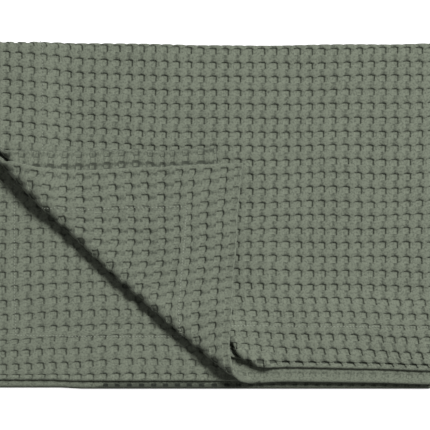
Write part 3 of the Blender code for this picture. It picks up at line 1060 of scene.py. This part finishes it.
def seam_points(name, lines):
    """A mesh of bare points, one for each stitch on the outer face of a quarter."""
    seams, runs = [], []
    for axis, size in enumerate((LENGTH, WIDTH)):
        ends = cut_places[axis][list(lines[axis])]
        seams.append(np.sign(ends.sum()) * (size / 2 - STITCH_LINE))
        runs.append(np.arange(min(ends, key=abs), seams[axis], np.sign(seams[axis]) * STITCH_GAP))
    a = np.concatenate((runs[0], np.full(len(runs[1]), seams[0])))
    b = np.concatenate((np.full(len(runs[0]), seams[1]), runs[1]))
    places, outward = face_places(a, b, a * 0.0, b * 0.0, 1)
    on_a = np.arange(len(a)) < len(runs[0])
    step_a, step_b = STEP * on_a, STEP * ~on_a
    way = unit(middle_of(a + step_a, b + step_b) - middle_of(a - step_a, b - step_b))
    mesh = bpy.data.meshes.new(name)
    mesh.from_pydata(places.tolist(), [], [])
    keep_attribute(mesh, "seam_way", way)
    keep_attribute(mesh, "outward", outward)
    return add_object(name, mesh)


# %% The thread
thread, _ = start_material("cotton_thread", {
    "Base Color": (0.210, 0.230, 0.184, 1.0), "Roughness": 0.80, "Sheen Weight": 0.15})

# %% The tree that sews
SEWING = {"Stitch Length": 0.0026, "Thread Width": 0.0009, "Length Change": 0.30, "Sunk": 0.0001}


def sewing_tree(material):
    tree, given = start_tree("hem_stitches", SEWING)
    _, times, minus, _ = math_for(tree)

    # down into the groove of the seam
    sunk = pushed_in(tree, given["Geometry"], given["Sunk"])

    # one stitch: a spindle one metre long and wide, made to size on each point
    spindle = add_node(tree, "GeometryNodeMeshUVSphere", {"Segments": 6, "Rings": 4, "Radius": 0.5})
    axes = (read(tree, "seam_way"), read(tree, "outward"))
    turn = add_node(tree, "FunctionNodeAxesToRotation", axes, primary_axis="X", secondary_axis="Z")
    chance = add_node(tree, "FunctionNodeRandomValue", {"Seed": 8}, data_type="FLOAT")
    share = minus(1.0, times(chance.outputs[1], given["Length Change"]))
    size = add_node(tree, "ShaderNodeCombineXYZ", (
        times(given["Stitch Length"], share), given["Thread Width"], given["Thread Width"]))
    sew = add_node(tree, "GeometryNodeInstanceOnPoints", {
        "Points": sunk, "Instance": spindle.outputs["Mesh"],
        "Rotation": turn.outputs[0], "Scale": size.outputs[0]})
    return end_tree(tree, sew.outputs[0], material)


# %% Sew the hems
sewing = sewing_tree(thread)
cut_places = [sheet_place(mesh_lines(axis)[0], axis) for axis in (0, 1)]
stitches = {}
for name, lines in QUARTERS.items():
    stitches[name] = made_plain(seam_points(name + "_stitches", lines), sewing)
    print(name, "has", len(stitches[name].data.polygons) // 24, "stitches")

# %% [markdown]
# ## Into place
#
# The pile stands on the floor, with the middle of its box over the origin, as the frame has
# it. The same move goes to all pieces.

# %% Set the pile down
pieces = [*quarters.values(), *stitches.values()]


def points_of(piece):
    points = np.empty(len(piece.data.vertices) * 3, np.float32)
    piece.data.vertices.foreach_get("co", points)
    return points.reshape(-1, 3)


corners = np.concatenate([points_of(piece) for piece in pieces])
low, high = corners.min(axis=0), corners.max(axis=0)
cad_middle = (np.array(cad_box[0]) + np.array(cad_box[1])) / 2
move = np.array((*(cad_middle[:2] - (low + high)[:2] / 2), cad_box[0][2] - low[2]))
for piece in pieces:
    piece.data.vertices.foreach_set("co", (points_of(piece) + move).astype(np.float32).ravel())
    piece.data.update()
print("the pile is", ((high - low) * 1000).round(1), "mm")

# %% Each layer's flat size, and each piece hung on the root with the CAD blanket hidden
for name, piece in quarters.items():
    cut = zip(cut_places, QUARTERS[name])
    flat = tuple(float(np.ptp(places[list(lines)])) for places, lines in cut)
    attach(piece, "root")
    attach(stitches[name], "root")
    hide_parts("blanket")

# %% [markdown]
# ## Floor, light and camera
#
# A plain white table under a large soft light from the far right, low enough to draw every
# pit, and a pale sky that fills the shadows. The camera looks straight down from far off.

# %% Floor
floor_mesh = bpy.data.meshes.new("floor")
floor_mesh.from_pydata([(-3, -3, 0), (3, -3, 0), (3, 3, 0), (-3, 3, 0)], [], [(0, 1, 2, 3)])
floor = add_object("floor", floor_mesh)
floor_material, floor_shader = start_material("floor", {
    "Base Color": (0.30, 0.30, 0.30, 1.0), "Roughness": 1.0, "Specular IOR Level": 0.0})
floor_tree = floor_material.node_tree
# only the camera sees it glow, so it stays white but lights nothing
glow = add_node(floor_tree, "ShaderNodeEmission", {"Strength": 0.85})
both = add_node(floor_tree, "ShaderNodeAddShader", (floor_shader.outputs[0], glow.outputs[0]))
ray = add_node(floor_tree, "ShaderNodeLightPath").outputs["Is Camera Ray"]
seen = add_node(floor_tree, "ShaderNodeMixShader", (ray, floor_shader.outputs[0], both.outputs[0]))
floor_tree.links.new(seen.outputs[0], floor_tree.nodes["Material Output"].inputs["Surface"])
floor_mesh.materials.append(floor_material)

# %% Lights
LIGHT_FROM = (2.10, 1.95, 4.20)
key = bpy.data.lights.new("key", "AREA")
key.shape = "DISK"
key.size = 1.30
key.energy = 400.0
key_object = add_object("key", key)
key_object.location = LIGHT_FROM
key_object.rotation_euler = Vector(LIGHT_FROM).to_track_quat("Z", "Y").to_euler()
world = bpy.data.worlds.new("sky")
world.use_nodes = True
sky = world.node_tree.nodes["Background"]
sky.inputs["Color"].default_value = (1.0, 1.0, 1.0, 1.0)
sky.inputs["Strength"].default_value = 0.28
bpy.context.scene.world = world
bpy.context.scene.view_settings.view_transform = "Standard"

# %% Camera
VIEW = 0.4840  # width of the view at the pile's height
HEIGHT, DISTANCE = 0.012, 3.2
camera_data = bpy.data.cameras.new("camera")
camera_data.lens = camera_data.sensor_width * DISTANCE / VIEW
camera = add_object("camera", camera_data)
camera.location = (move[0], 0.0011 + move[1], HEIGHT + DISTANCE)
bpy.context.scene.camera = camera
